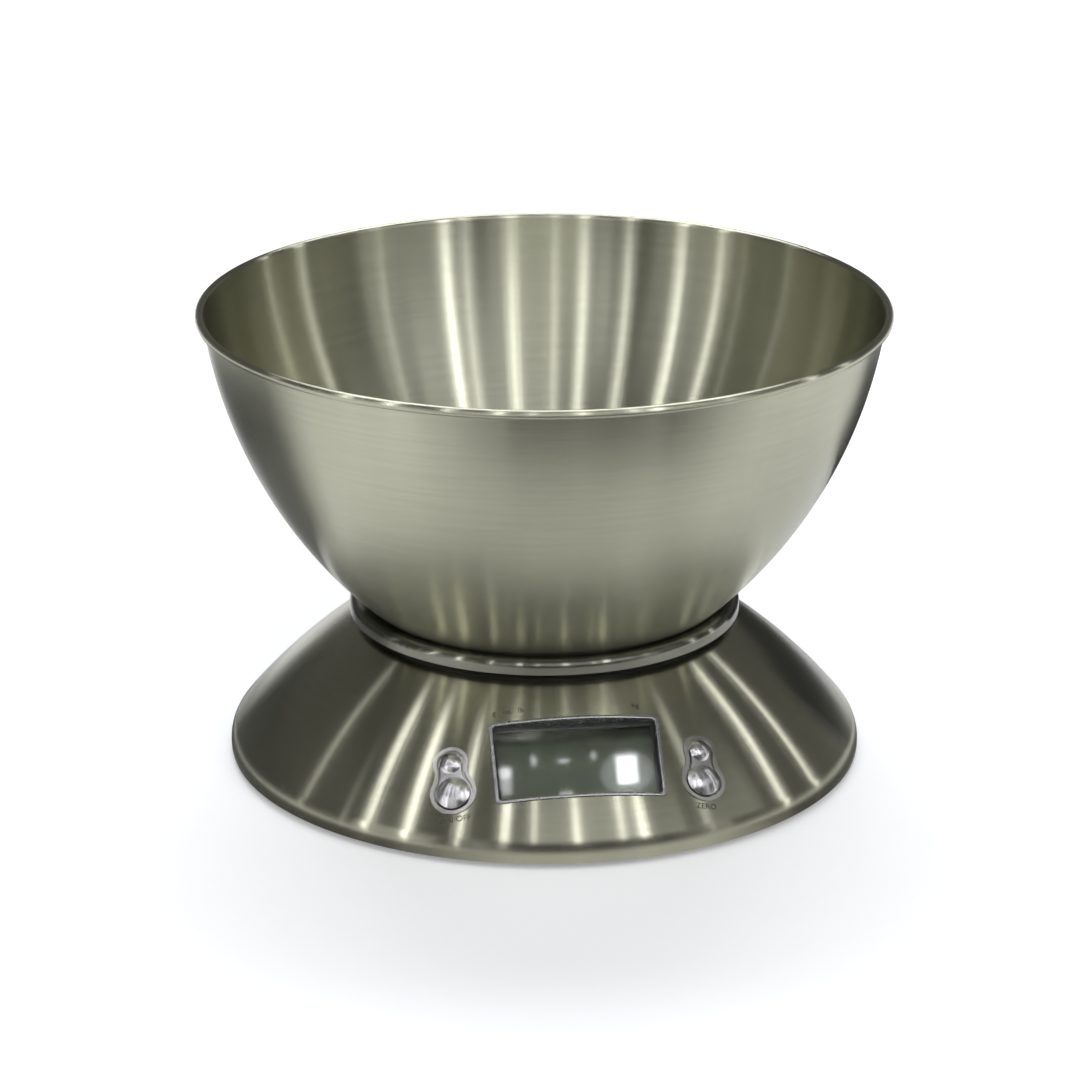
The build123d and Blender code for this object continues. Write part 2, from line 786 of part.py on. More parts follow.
def make_board():
    """The main board, with a hole over each post."""
    middle = (board_low + board_high) / 2
    height = board_high - board_low
    board = panel_block(2 * board_half_width, height, board_depth, board_back, v=middle)
    for u, v in board_posts:
        board -= panel_disc(board_screw_radius + thread_clearance, board_depth, board_back, u, v)
    return board


def make_battery(y, end):
    """A cell lying along X, with its nub towards end."""
    negative = -end * (bay_half_length - plate_thickness - spring_length)
    shoulder = negative + end * (battery_length - nub_length)
    tip = negative + end * battery_length
    can = Cylinder(battery_radius, abs(shoulder - negative))
    nub = Cylinder(nub_radius, nub_length)
    turn = Rot(0, 90, 0)
    cell = Pos((negative + shoulder) / 2, y, battery_axis) * turn * can
    return cell + Pos((shoulder + tip) / 2, y, battery_axis) * turn * nub


def make_spring(y, end):
    """A coil between a contact plate and the flat end of a cell."""
    clear = spring_gap + spring_wire / 2
    run = spring_length - 2 * clear
    base = -end * (bay_half_length - plate_thickness - clear)
    middle = (base, y, battery_axis)
    coil = Helix(run / spring_turns, run, spring_radius, center=middle, direction=(end, 0, 0))
    section = Plane(origin=coil @ 0, z_dir=coil % 0) * Circle(spring_wire / 2)
    return sweep(section, path=coil)


def make_contact(y_low, y_high, end):
    """A flat contact plate against an end wall of the bay."""
    near = bay_half_length - plate_thickness
    x_range = sorted((end * near, end * bay_half_length))
    return block(x_range, (y_low, y_high), (plate_low, plate_high))


def make_tagged_contact(y):
    """A contact plate with a solder tag through the wall on the -X side."""
    plate = make_contact(y - plate_width / 2, y + plate_width / 2, -1)
    tag_y = (y - tag_width / 2, y + tag_width / 2)
    return plate + block((-tag_end, -bay_half_length), tag_y, (tag_low, tag_high))


def make_battery_door():
    """The door in the floor: hinge tabs and grooves at the rear, a latch and finger ridges in front."""
    top = floor_bottom + door_thickness
    half = bay_half_length - door_clearance
    front = bay_front + door_clearance
    rear = bay_rear - door_clearance
    door = block((-half, half), (front, rear), (floor_bottom, top))
    tab_low = floor_top + tab_lift
    tab_high = tab_low + tab_thickness
    for across in (-tab_across, tab_across):
        tab_x = (across - tab_width / 2, across + tab_width / 2)
        door += block(tab_x, (rear - tab_root, rear), (top, tab_high))
        door += block(tab_x, (rear, bay_rear + tab_length), (tab_low, tab_high))
        door -= hinge_rod(hinge_rib_clearance, across)
    latch_x = (-latch_width / 2, latch_width / 2)
    door += block(latch_x, (front, front + latch_thickness), (top, top + latch_height))
    for index in range(grip_count):
        y = front + grip_inset + index * grip_pitch
        ridge_x = (-grip_width / 2, grip_width / 2)
        door += block(ridge_x, (y, y + grip_thickness), (floor_bottom - grip_depth, floor_bottom))
    return door


def make_lead(name, points, radius):
    """A round wire along straight runs joined by arcs as large as the runs allow."""
    route = [Vector(*p) for p in points]
    runs = [(b - a) for a, b in zip(route, route[1:])]
    bends = []
    for before, after in zip(runs, runs[1:]):
        half_turn = radians(before.get_angle(after)) / 2
        bends.append(lead_bend_share * min(before.length, after.length) / tan(half_turn))
    path = FilletPolyline(*route, radius=bends)
    lead = sweep(Plane(origin=route[0], z_dir=runs[0]) * Circle(radius), path=path)
    expected = pi * radius**2 * path.length
    print(name, "bend radii", [round(b, 1) for b in bends], "volume ratio", round(lead.volume / expected, 4))
    return lead


def make_gauge_wire(name, index):
    """A wire from the gauge coating, down and forward to the back of the board."""
    x = gauge_wire_first + index * gauge_wire_pitch
    end = panel_point(x, gauge_wire_high, board_back)
    before = panel_point(x, gauge_wire_high, board_back + lead_stand_off)
    start_height = cell_top + coating_thickness / 2
    points = [
        (x, -coating_width / 2, start_height),
        (x, -14, start_height),
        (x, -26, 24),
        (x, -38, 16),
        (x, -49, 11.5),
        before,
        end,
    ]
    return make_lead(name, points, gauge_wire_radius)


def make_battery_lead(name, index, y):
    """A lead from a contact tag, round the load cell's boss, to the back of the board."""
    across = battery_lead_across - index * battery_lead_pitch
    end = panel_point(across, battery_lead_high, board_back)
    before = panel_point(across, battery_lead_high, board_back + lead_stand_off)
    out = -battery_lead_step * index
    height = (tag_low + tag_high) / 2
    points = [
        (-tag_end, y, height),
        (-38 + out, y - 1, height - 1),
        (-50 + out, y - 14, 10),
        (-54 + out, 12, 8),
        (-53 + out, -12, 8),
        (-46 + out, -34, 9),
        (-36 + out / 2, -48, 10),
        before,
        end,
    ]
    return make_lead(name, points, battery_lead_radius)


def make_nodes():
    """Every piece of the scale, by name."""
    lens_back = lens_depth + lens_thickness
    chip_back = board_back + chip_thickness
    nodes = {
        "bowl": make_bowl(),
        "weighing_platform": make_platform(),
        "platform_carrier": make_carrier(),
        "platform_nuts": make_nuts(),
        "load_cell_top_screws": make_cell_screws(top_screw_seat, cell_top - cell_screw_grip, 1),
        "load_cell": make_load_cell(),
        "load_cell_base_screws": make_cell_screws(cell_screw_seat, cell_bottom + cell_screw_grip, -1),
        "gauge_coating": make_gauge_coating(),
        "base_cover": make_base_cover(),
        "upper_housing": make_upper_housing(),
        "bottom_housing": make_bottom_housing(),
        "housing_screws": make_housing_screws(),
        "display_bezel": make_display_bezel(),
        "display_lens": panel_block(*bezel_outer, lens_depth, lens_back, corner=view_corner),
        "lens_seal": panel_frame(bezel_outer, seal_hole, lens_back, ledge_depth, view_corner),
        "lcd_panel": panel_block(*lcd_size, lcd_depth, lcd_back),
        "lcd_frame": make_lcd_frame(),
        "contact_strip_upper": make_contact_strip(1),
        "contact_strip_lower": make_contact_strip(-1),
        "main_board": make_board(),
        "board_screws": make_board_screws(),
        "controller_chip": panel_block(chip_size, chip_size, board_back, chip_back, u=chip_across),
    }
    for name, angle in foot_places.items():
        nodes[name] = make_foot(angle)
    for name, side in (("left", -1), ("right", 1)):
        nodes["button_" + name] = make_button(side)
        nodes["switch_plunger_" + name] = make_plunger(side)
        nodes["switch_body_" + name] = make_switch(side)
        nodes["button_surround_" + name] = make_surround(side)
    front_y = bay_centre - battery_step
    rear_y = bay_centre + battery_step
    nodes["battery_front"] = make_battery(front_y, 1)
    nodes["battery_rear"] = make_battery(rear_y, -1)
    nodes["battery_spring_front"] = make_spring(front_y, 1)
    nodes["battery_spring_rear"] = make_spring(rear_y, -1)
    nodes["contact_negative"] = make_tagged_contact(front_y)
    nodes["contact_positive"] = make_tagged_contact(rear_y)
    nodes["contact_bridge"] = make_contact(front_y - plate_width / 2, rear_y + plate_width / 2, 1)
    nodes["battery_door"] = make_battery_door()
    for index, colour in enumerate(("red", "black", "white", "green")):
        nodes["gauge_wire_" + colour] = make_gauge_wire("gauge_wire_" + colour, index)
    nodes["battery_lead_black"] = make_battery_lead("battery_lead_black", 0, front_y)
    nodes["battery_lead_red"] = make_battery_lead("battery_lead_red", 1, rear_y)
    return nodes


os.makedirs("parts", exist_ok=True)
for name, shape in make_nodes().items():
    solids = Compound(children=list(shape)) if isinstance(shape, list) else shape
    export_step(solids, "parts/" + name + ".step")
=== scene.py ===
import json
import math
from functools import cache

import bmesh
import bpy
from mathutils import Matrix, Vector


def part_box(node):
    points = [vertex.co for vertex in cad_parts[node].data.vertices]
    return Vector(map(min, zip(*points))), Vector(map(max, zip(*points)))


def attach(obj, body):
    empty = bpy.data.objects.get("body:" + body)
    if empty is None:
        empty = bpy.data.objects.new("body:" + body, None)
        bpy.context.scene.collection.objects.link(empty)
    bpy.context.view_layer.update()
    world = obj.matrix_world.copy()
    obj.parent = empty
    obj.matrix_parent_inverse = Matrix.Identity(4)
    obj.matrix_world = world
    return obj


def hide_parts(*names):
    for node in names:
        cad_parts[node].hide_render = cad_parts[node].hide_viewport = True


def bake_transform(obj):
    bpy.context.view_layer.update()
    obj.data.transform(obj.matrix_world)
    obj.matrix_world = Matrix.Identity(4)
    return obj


# A steel kitchen scale with a lift-off bowl: its finishes, the pieces that are shaped again in mesh code,
# the small printed signs, and the floor, the light and the camera.
# Metres and radians, where no comment says otherwise. The frame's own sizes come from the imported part.
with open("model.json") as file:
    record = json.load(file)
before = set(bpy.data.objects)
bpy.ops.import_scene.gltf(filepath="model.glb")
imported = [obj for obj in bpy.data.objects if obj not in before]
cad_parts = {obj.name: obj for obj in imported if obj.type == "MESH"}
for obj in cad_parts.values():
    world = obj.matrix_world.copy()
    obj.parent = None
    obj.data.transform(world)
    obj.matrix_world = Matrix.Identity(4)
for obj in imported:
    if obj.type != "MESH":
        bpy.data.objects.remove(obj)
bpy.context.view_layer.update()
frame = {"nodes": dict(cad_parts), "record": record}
nodes = frame["nodes"]
scene = bpy.context.scene
MM = 0.001
QUARTER = math.pi / 2.0
FULL_TURN = 2.0 * math.pi

# Camera: where the photograph was taken from. The lens and the sensor are in millimetres.
CAMERA_TURN = math.radians(-7.3)
CAMERA_REACH = 1.150
CAMERA_HEIGHT = 0.4862
CAMERA_DIP = math.radians(19.985)
CAMERA_LENS = 129.48
CAMERA_SENSOR = 36.0
CAMERA_SHIFT = -0.004

# Floor: the glow that makes it white is weak round the scale, which keeps the shadow there, and rises to
# full between two distances
FLOOR_RADIUS = 12.0
FLOOR_SIDES = 96
FLOOR_COLOUR = (0.93, 0.93, 0.93)
FLOOR_GLOW = 0.27
GLOW_RISE = (1.2, 6.0)

# Room: the colour of its light, by how far the direction rises, from level at 0 to straight up at 1
ROOM_STOPS = (
    (0.0, (0.16, 0.16, 0.155)),
    (0.12, (0.14, 0.14, 0.135)),
    (1.0, (0.10, 0.10, 0.095)),
)

# Every lamp's colour, and the point that it is aimed at
LAMP_COLOUR = (0.99, 1.0, 1.05)
LAMP_AIM = Vector((0.0, 0.0, 0.07))

# Strip lamps: the turn of the streak that each one draws on the steel, in degrees from the front, the lamp's
# angular width in degrees, its brightness, and the highest lean of the streak. All start at one low lean.
STRIPS = (
    (-56.5, 1.5, 1.2, 54.0),
    (-46.0, 0.7, 1.4, 38.0),
    (-41.0, 1.8, 4.2, 54.0),
    (-33.0, 2.2, 4.8, 54.0),
    (-23.0, 1.9, 4.0, 54.0),
    (-14.6, 2.2, 4.2, 54.0),
    (-9.3, 1.2, 3.0, 56.0),
    (-1.2, 2.0, 4.2, 58.0),
    (7.2, 1.3, 3.8, 56.0),
    (11.0, 2.8, 5.2, 40.0),
    (24.0, 1.4, 1.6, 54.0),
    (41.5, 2.2, 3.4, 54.0),
    (51.0, 2.0, 2.8, 54.0),
)
STRIP_LOW = 12.0
STRIP_REACH = 5.0

# The turns and the leans that the flat display cover mirrors, in degrees, where the strips leave a gap
PANEL_TURN = 2.5
PANEL_LEANS = (43.5, 51.5)

# The large soft lamps: place, width, height and brightness
SOFT_LAMPS = (
    ("soft_back", (0.3, 2.9, 4.2), 4.0, 2.2, 5.4),
    ("soft_front", (-0.7, -4.5, 1.5), 3.9, 2.8, 0.62),
    ("soft_right", (2.9, -3.5, 1.5), 3.9, 2.8, 0.55),
    ("soft_left", (-4.0, -2.1, 1.5), 2.6, 2.8, 0.50),
    ("soft_top", (0.62, -2.30, 3.89), 2.75, 1.75, 0.50),
    ("soft_high_front", (1.03, -3.18, 3.08), 4.3, 2.2, 0.55),
    ("soft_high_right", (3.25, -1.73, 2.65), 3.3, 1.3, 0.42),
    ("soft_streak", (-2.24, -3.45, 1.90), 0.8, 2.6, 0.45),
)

# Small lamps that the display's cover mirrors: the place of the glint on the cover, across and up from
# its middle, the glint's width and height, in millimetres, the lamp's brightness and its outline
GLINTS = (
    (14.9, -3.4, 6.1, 9.4, 20.0, "RECTANGLE"),
    (14.8, -4.4, 16.0, 14.0, 1.5, "ELLIPSE"),
    (-21.9, -2.6, 3.1, 3.4, 13.0, "RECTANGLE"),
    (-21.9, -7.0, 3.1, 5.4, 5.0, "RECTANGLE"),
    (-13.0, 1.0, 1.2, 3.2, 8.0, "ELLIPSE"),
    (-4.0, 0.4, 3.8, 1.3, 6.0, "ELLIPSE"),
    (5.2, 1.6, 1.2, 2.8, 6.0, "ELLIPSE"),
    (-4.2, -10.6, 4.5, 1.8, 6.0, "ELLIPSE"),
)
GLINT_REACH = 2.0

# Grey cards that only the steel's reflections show, standing or lying round the scale: the first and the
# last turn, in degrees from the front, the turn over which each end fades, the distance and height of the
# lower edge and of the upper one, the grey, and how fully the card covers what is behind it
CARDS = (
    ("card_front", -44.0, 58.0, 30.0, (0.235, 0.001), (0.235, 0.12), 0.03, 1.0),
    ("card_left", -150.0, -83.0, 15.0, (0.235, 0.0006), (0.235, 0.080), 0.13, 1.0),
    ("card_left_floor", -150.0, -85.0, 18.0, (0.130, 0.0006), (0.235, 0.0006), 0.25, 1.0),
    ("card_right", 107.0, 170.0, 7.0, (0.235, 0.0006), (0.235, 0.085), 0.05, 1.0),
    ("card_right_floor", 50.0, 150.0, 24.0, (0.122, 0.0006), (0.260, 0.0006), 0.75, 0.5),
    # The two foot cards are painted shadow: dark rings close round the base, which the skirt mirrors in
    # place of the floor's contact shadow.
    ("card_shadow_foot_left", -150.0, -12.0, 24.0, (0.1008, 0.0006), (0.119, 0.0006), 0.16, 1.0),
    ("card_shadow_foot_right", 22.0, 110.0, 24.0, (0.1008, 0.0006), (0.119, 0.0006), 0.16, 1.0),
)
CARD_STEPS = 48
CARD_CLOUDS = 30.0
CARD_TONES = (0.9, 1.1)

# The base's dome, in millimetres: its profile is an arc, by the radius and height of the arc's middle. The
# steps are the rounds in which a point is brought onto it.
DOME_MIDDLE = (-41.163, -104.883)
DOME_CURVE = 180.0
DOME_STEPS = 12

# The base's steel cover, in millimetres: the rounds at its foot and its top, and how closely a face has to
# follow the turned profile to be shaded by it
COVER_RADIUS = 100.0
SHOULDER_ROUND = 8.0
COVER_TOP = 44.0
TOP_ROUND = 6.0
SAME_FACE = 0.94

# The bowl's profile, in millimetres: the arc of its outer wall, its sheet, its foot and its rolled rim
WALL_MIDDLE = (-43.48, 163.17)
WALL_CURVE = 150.0
BOWL_SHEET = 0.6
BOWL_FOOT = 50.2
FOOT_ROUND = 5.0
RIM_MIDDLE = (106.1, 144.1)
RIM_ROUND = 1.4

# The bowl's mesh: its steps round the turn and along each stretch of the profile
BOWL_TURNS = 320
FLAT_STEPS = 12
ROUND_STEPS = 10
WALL_STEPS = 56
RIM_STEPS = 22

# The display's bezel, in millimetres: half of its outside across and up, its corners, and its section, by
# the distance in from the outside and the rise above the steel, then the steps along its sides and its
# corners and the angle of a sharp edge. Its foot stands on the display's cover, by half of its thickness.
BEZEL_HALF = (25.7, 13.3)
BEZEL_CORNER = 1.2
BEZEL_SECTION = ((0.0, 0.10), (0.05, 0.24), (0.18, 0.30), (0.82, 0.30), (0.95, 0.24), (1.0, 0.10))
BEZEL_SIDES = (24, 12)
BEZEL_CORNER_STEPS = 6
BEZEL_SHARP = math.radians(40.0)
LENS_HALF = 0.75

# The load cell: its pieces, with the nodes they stand for and their slots, the half of its middle stretch
# that bends, in millimetres, and the cuts along it
CELL_PIECES = (
    ("load_cell_beam", "load_cell", "cell_alloy"),
    ("gauge_coat", "gauge_coating", "gauge_silicone"),
)
CELL_BEND = 12.5
CELL_CUTS = 10

# Printed signs, in millimetres: the words, the place across and up from the display's middle, and the
# letters' height. The font's size is larger than its letters by a fixed share.
SIGNS = (
    ("sign_power", "ON/OFF", -37.9, -16.6, 1.8),
    ("sign_zero", "ZERO", 37.9, -16.6, 1.8),
    ("sign_units_left", "g   oz   lb", -19.5, 16.0, 1.8),
    ("sign_units_right", "kg", 19.2, 16.0, 1.8),
)
SIGN_THICKNESS = 0.05
SIGN_LIFT = SIGN_THICKNESS / 4.0
LETTER_SIZE = 1.4
LETTER_CURVES = 6

# Noise detail for fine patterns and for clouds, and the colour sockets of a mix node
FINE_DETAIL = 3.0
CLOUD_DETAIL = 2.0
MIX_DARK = 6
MIX_LIGHT = 7
MIX_COLOUR = 2

# Brush lines on the steel: how often a line changes round the turn, and the lines' pitch. The shares are
# those of the fine lines, the coarse lines and the clouds in the colour, and the spread maps their sum to
# the two colours.
BRUSH_FINE = (6.0, 0.00037)
BRUSH_COARSE = (3.0, 0.0014)
BRUSH_SHARES = (0.25, 0.5, 0.25)
BRUSH_SPREAD = (-0.6, 1.6)

# The steel's surface: the spread of its roughness, the strength and depth of the lines' bump, the least
# radius that the turn is taken at, and the scales of its waves and clouds
BRUSH_UNEVEN = 0.03
BRUSH_BUMP = (0.25, 0.000008)
BRUSH_MIDDLE = 0.001
STEEL_WAVES = 9.0
STEEL_CLOUDS = 14.0

# Painted shade on the platform's rim, for the dark surroundings that it mirrors: the radius from which it
# starts, the share of the colour that is left there, and the width over which it fades in
PLATFORM_RIM_SHADE = (0.0555, 0.52)
RIM_SHADE_FADE = 0.0015

# Smudges on bright metal: their scale, and the roughness from the least to the most, as shares
SMUDGE_SCALE = 260.0
SMUDGE_SHARES = (0.7, 1.4)

# Moulded surfaces: the scales of the grain and of the clouds, the spread of the roughness, and the bump
MOULD_SPECKLE = 1800.0
MOULD_CLOUDS = 40.0
MOULD_UNEVEN = 0.06
MOULD_BUMP = 0.5
MOULD_GRAIN = 0.00003

# The display: the tints of its smoked cover, and the colours of the unlit glass from its lower edge at 0 to
# its upper one at 1, darkening upwards as painted shade for the recess under the bezel's upper edge, with
# the scale and the depth of their unevenness
LENS_TINTS = ((0.80, 0.83, 0.77), (0.86, 0.89, 0.83))
LENS_CLOUDS = 90.0
GLASS_STOPS_WITH_SHADE = (
    (0.0, (0.27, 0.29, 0.235)),
    (0.55, (0.22, 0.24, 0.19)),
    (0.78, (0.14, 0.155, 0.12)),
    (0.87, (0.035, 0.038, 0.03)),
    (1.0, (0.015, 0.017, 0.013)),
)
GLASS_CLOUDS = 120.0
GLASS_UNEVEN = 0.08

# Brushed steels, by slot: the darker and the lighter colour, how the height counts against the radius along
# the profile, the roughness, the height of the slight waves round the turn, and an edge darkened as painted
# shade, if any
STEELS = {
    "bowl_steel": ((0.385, 0.385, 0.296), (0.455, 0.455, 0.35), 1.0, 0.24, 0.00004, None),
    "platform_steel": ((0.36, 0.36, 0.29), (0.44, 0.44, 0.355), -1.0, 0.20, 0.00003, PLATFORM_RIM_SHADE),
    "cover_steel": ((0.375, 0.37, 0.282), (0.445, 0.44, 0.335), -1.0, 0.20, 0.00004, None),
}

# Bright metals and plating, by slot: the darker and the lighter colour, and the roughness
METALS = {
    "chrome_trim": ((0.62, 0.61, 0.61), (0.72, 0.71, 0.71), 0.21),
    "surround_plastic": ((0.50, 0.49, 0.46), (0.58, 0.57, 0.53), 0.22),
    "cell_alloy": ((0.68, 0.68, 0.69), (0.76, 0.76, 0.77), 0.32),
    "fastener_steel": ((0.54, 0.54, 0.54), (0.62, 0.62, 0.62), 0.22),
    "contact_nickel": ((0.64, 0.63, 0.58), (0.72, 0.71, 0.66), 0.18),
}
# The display's bezel: a darker copy of the chrome trim, as painted shade round the display's recess, by the
# darker and the lighter colour and the roughness
BEZEL_SHADED_CHROME = ((0.36, 0.355, 0.35), (0.44, 0.435, 0.43), 0.25)

# Plastics, rubbers and insulation, by slot: the darker and the lighter colour, the roughness, and the depth
# of the grain where it isn't the usual one
PLASTICS = {
    "housing_plastic": ((0.075, 0.075, 0.075), (0.10, 0.10, 0.10), 0.55),
    "tray_plastic": ((0.05, 0.05, 0.053), (0.07, 0.07, 0.073), 0.55),
    "carrier_plastic": ((0.13, 0.13, 0.13), (0.16, 0.16, 0.16), 0.5),
    "frame_plastic": ((0.70, 0.70, 0.67), (0.76, 0.76, 0.73), 0.5),
    "foot_rubber": ((0.035, 0.035, 0.035), (0.055, 0.055, 0.055), 0.8, 0.00006),
    "seal_tape": ((0.05, 0.05, 0.05), (0.07, 0.07, 0.07), 0.9),
    "strip_rubber": ((0.50, 0.31, 0.36), (0.58, 0.38, 0.43), 0.7),
    "gauge_silicone": ((0.80, 0.79, 0.75), (0.86, 0.85, 0.81), 0.45),
    "board": ((0.035, 0.20, 0.09), (0.055, 0.27, 0.13), 0.35),
    "chip": ((0.03, 0.03, 0.03), (0.045, 0.045, 0.045), 0.5),
    "switch_plastic": ((0.05, 0.05, 0.05), (0.065, 0.065, 0.065), 0.45),
    "cell_wrap_front": ((0.11, 0.13, 0.17), (0.15, 0.17, 0.21), 0.3),
    "wire_red": ((0.52, 0.03, 0.025), (0.62, 0.05, 0.04), 0.4),
    "wire_black": ((0.025, 0.025, 0.025), (0.035, 0.035, 0.035), 0.4),
    "wire_white": ((0.78, 0.78, 0.76), (0.84, 0.84, 0.82), 0.4),
    "wire_green": ((0.03, 0.30, 0.10), (0.05, 0.38, 0.14), 0.4),
}
SIGN_INK = ((0.028, 0.028, 0.026), (0.045, 0.045, 0.04), 0.45)


class Material:
    """A node material with a Principled shader, and short ways to add and join nodes."""

    def __init__(self, name):
        self.data = bpy.data.materials.new(name)
        self.data.use_nodes = True
        self.tree = self.data.node_tree
        self.shader = self.tree.nodes["Principled BSDF"]

    def set(self, **sockets):
        """Sets plain values on the shader, by socket name with spaces as underscores."""
        for name, value in sockets.items():
            socket = self.shader.inputs[name.replace("_", " ")]
            socket.default_value = (*value, 1.0) if isinstance(value, tuple) else value
        return self

    def add(self, kind, values=None, **settings):
        """Adds a node, with its settings and the values of its inputs."""
        node = self.tree.nodes.new(kind)
        for name, value in settings.items():
            setattr(node, name, value)
        for key, value in (values or {}).items():
            node.inputs[key].default_value = value
        return node

    def join(self, output, target):
        """Joins an output to an input, which is a socket or the name of one of the shader's."""
        socket = self.shader.inputs[target] if isinstance(target, str) else target
        self.tree.links.new(output, socket)

    def math(self, operation, *values):
        """A math node on sockets or plain numbers. Returns its output."""
        node = self.add("ShaderNodeMath", operation=operation)
        for socket, value in zip(node.inputs, values):
            if isinstance(value, (int, float)):
                socket.default_value = value
            else:
                self.join(value, socket)
        return node.outputs[0]

    def place(self):
        """The point on the object, in metres, as one output and as x, y and z outputs."""
        where = self.add("ShaderNodeTexCoord")
        split = self.add("ShaderNodeSeparateXYZ")
        self.join(where.outputs["Object"], split.inputs[0])
        return where.outputs["Object"], split.outputs

    def reach(self, x, y):
        """The distance from the upright axis, of x and y outputs. Returns its output."""
        return self.math("SQRT", self.math("ADD", self.math("MULTIPLY", x, x), self.math("MULTIPLY", y, y)))

    def vector(self, *parts):
        """Two or three outputs as one vector. Returns its output."""
        node = self.add("ShaderNodeCombineXYZ")
        for socket, part in zip(node.inputs, parts):
            self.join(part, socket)
        return node.outputs[0]

    def noise(self, vector, scale, detail=CLOUD_DETAIL):
        """A noise pattern along a vector output. Returns its value output."""
        node = self.add("ShaderNodeTexNoise", {"Scale": scale, "Detail": detail})
        self.join(vector, node.inputs["Vector"])
        return node.outputs["Fac"]

    def spread(self, value, low, high):
        """Maps a 0 to 1 pattern to a range. Returns the value output."""
        node = self.add("ShaderNodeMapRange", {"To Min": low, "To Max": high})
        self.join(value, node.inputs["Value"])
        return node.outputs["Result"]

    def tint(self, value, dark, light):
        """Maps a 0 to 1 pattern to a mix of two colours. Returns the colour output."""
        node = self.add("ShaderNodeMix", data_type="RGBA")
        node.inputs[MIX_DARK].default_value = (*dark, 1.0)
        node.inputs[MIX_LIGHT].default_value = (*light, 1.0)
        self.join(value, node.inputs[0])
        return node.outputs[MIX_COLOUR]

    def bump(self, height, strength, distance, after=None):
        """A bump node over a height output, on top of an earlier bump. Returns its normal output."""
        node = self.add("ShaderNodeBump", {"Strength": strength, "Distance": distance})
        self.join(height, node.inputs["Height"])
        if after is not None:
            self.join(after, node.inputs["Normal"])
        return node.outputs["Normal"]


def fill_ramp(ramp, stops):
    """Gives a colour ramp its stops, each with its place, the first at 0 and the last at 1."""
    (_, first), *between, (_, last) = stops
    elements = ramp.color_ramp.elements
    elements[0].color = (*first, 1.0)
    elements[1].color = (*last, 1.0)
    for place, colour in between:
        elements.new(place).color = (*colour, 1.0)


def brushed_steel(name, dark, light, slope, roughness, waves, edge):
    """Steel brushed round the Z axis. The brush lines run along the turn, and slope is how the height
    counts against the radius along the profile, so that the lines stay apart on walls and flats alike.
    The edge is a radius from which the steel is darkened as painted shade, and the share of its colour that
    is left there."""
    steel = Material(name).set(Metallic=1.0, Anisotropic=1.0, Anisotropic_Rotation=0.25)
    point, (x, y, z) = steel.place()
    radius = steel.reach(x, y)
    safe = steel.math("MAXIMUM", radius, BRUSH_MIDDLE)
    spoke = [steel.math("DIVIDE", part, safe) for part in (x, y)]
    along = steel.math("ADD", radius, steel.math("MULTIPLY", z, slope))
    patterns = []
    for stretch, pitch in (BRUSH_FINE, BRUSH_COARSE):
        turned = [steel.math("MULTIPLY", part, stretch) for part in spoke]
        lines = steel.vector(*turned, steel.math("DIVIDE", along, pitch))
        patterns.append(steel.noise(lines, 1.0, FINE_DETAIL))
    grain = patterns[0]
    patterns.append(steel.noise(point, STEEL_CLOUDS))
    fine, coarse, clouds = (steel.math("MULTIPLY", *pair) for pair in zip(patterns, BRUSH_SHARES))
    mixed = steel.math("ADD", steel.math("ADD", fine, coarse), clouds)
    shade = steel.tint(steel.spread(mixed, *BRUSH_SPREAD), dark, light)
    # Painted shade: the steel darkens outward of a radius, for the dark surroundings that the platform's rim
    # mirrors.
    if edge:
        start, left = edge
        ends = {"From Min": start, "From Max": start + RIM_SHADE_FADE, "To Min": 1.0, "To Max": left}
        ring = steel.add("ShaderNodeMapRange", ends)
        steel.join(radius, ring.inputs["Value"])
        scaled = steel.add("ShaderNodeVectorMath", operation="SCALE")
        steel.join(shade, scaled.inputs[0])
        steel.join(ring.outputs["Result"], scaled.inputs["Scale"])
        shade = scaled.outputs["Vector"]
    steel.join(shade, "Base Color")
    steel.join(steel.spread(grain, roughness - BRUSH_UNEVEN, roughness + BRUSH_UNEVEN), "Roughness")
    ripple = steel.noise(steel.vector(*spoke), STEEL_WAVES, FINE_DETAIL)
    wavy = steel.bump(ripple, 1.0, waves)
    steel.join(steel.bump(grain, *BRUSH_BUMP, wavy), "Normal")
    tangent = steel.add("ShaderNodeTangent", direction_type="RADIAL", axis="Z")
    steel.join(tangent.outputs[0], "Tangent")
    return steel.data


def polished(name, dark, light, roughness):
    """Bright plated metal with faint smudges."""
    metal = Material(name).set(Metallic=1.0)
    point, _ = metal.place()
    smudge = metal.noise(point, SMUDGE_SCALE, FINE_DETAIL)
    metal.join(metal.tint(smudge, dark, light), "Base Color")
    metal.join(metal.spread(smudge, *(roughness * share for share in SMUDGE_SHARES)), "Roughness")
    return metal.data


def moulded(name, dark, light, roughness, grain=MOULD_GRAIN):
    """Moulded plastic or rubber with a fine grain."""
    plastic = Material(name)
    point, _ = plastic.place()
    speckle = plastic.noise(point, MOULD_SPECKLE)
    clouds = plastic.noise(point, MOULD_CLOUDS)
    plastic.join(plastic.tint(clouds, dark, light), "Base Color")
    plastic.join(plastic.spread(speckle, roughness - MOULD_UNEVEN, roughness + MOULD_UNEVEN), "Roughness")
    plastic.join(plastic.bump(speckle, MOULD_BUMP, grain), "Normal")
    return plastic.data


def clear_lens(name):
    """The smoked clear cover of the display."""
    lens = Material(name).set(Transmission_Weight=1.0, IOR=1.49, Roughness=0.02)
    point, _ = lens.place()
    lens.join(lens.tint(lens.noise(point, LENS_CLOUDS), *LENS_TINTS), "Base Color")
    return lens.data


